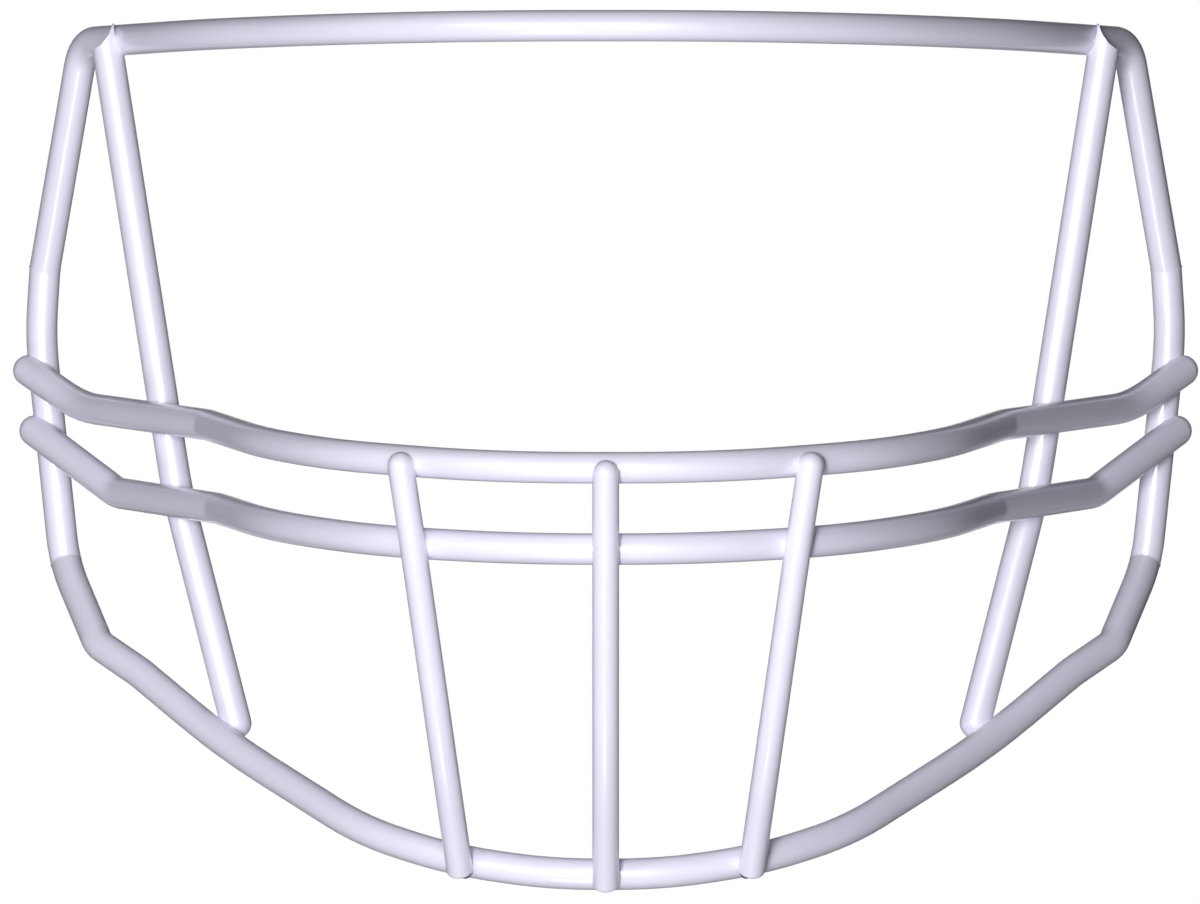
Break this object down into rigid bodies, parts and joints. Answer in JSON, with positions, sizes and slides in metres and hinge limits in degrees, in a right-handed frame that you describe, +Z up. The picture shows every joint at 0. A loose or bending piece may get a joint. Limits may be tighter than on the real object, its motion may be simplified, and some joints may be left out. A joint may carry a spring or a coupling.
{
  "type": "football helmet face guard",
  "caption": "White football helmet face guard: bent steel wires welded into an open cage of brow, jaw, cross and upright bars under a smooth glossy coating.",
  "frame": {"origin": "on the axis of the brow bar at the mid-plane, where the guard rests against the helmet's brow", "axes": "+Z up, front of the guard facing -Y, +X towards the wearer's left"},
  "size_m": [0.2472, 0.1607, 0.1817],
  "materials": {
    "coating": "smooth gloss, bright white with a cool lavender cast",
    "wire_steel": "drawn wire, bare under the coating",
    "weld_steel": "dull weld metal"
  },
  "bodies": {
    "root": {"brow_hoop_wire": "wire_steel", "brow_hoop_coat": "coating", "jaw_hoop_wire": "wire_steel", "jaw_hoop_coat": "coating", "left_side_rail_wire": "wire_steel", "left_side_rail_coat": "coating", "right_side_rail_wire": "wire_steel", "right_side_rail_coat": "coating", "upper_crossbar_wire": "wire_steel", "upper_crossbar_coat": "coating", "lower_crossbar_wire": "wire_steel", "lower_crossbar_coat": "coating", "left_pillar_wire": "wire_steel", "left_pillar_coat": "coating", "right_pillar_wire": "wire_steel", "right_pillar_coat": "coating", "left_vertical_wire": "wire_steel", "left_vertical_coat": "coating", "centre_vertical_wire": "wire_steel", "centre_vertical_coat": "coating", "right_vertical_wire": "wire_steel", "right_vertical_coat": "coating", "seam_welds": "weld_steel", "rail_crossbar_welds": "weld_steel", "brow_pillar_welds": "weld_steel", "pillar_crossbar_welds": "weld_steel", "jaw_pillar_welds": "weld_steel", "crossbar_vertical_welds": "weld_steel", "chin_vertical_welds": "weld_steel"}
  },
  "joints": []
}
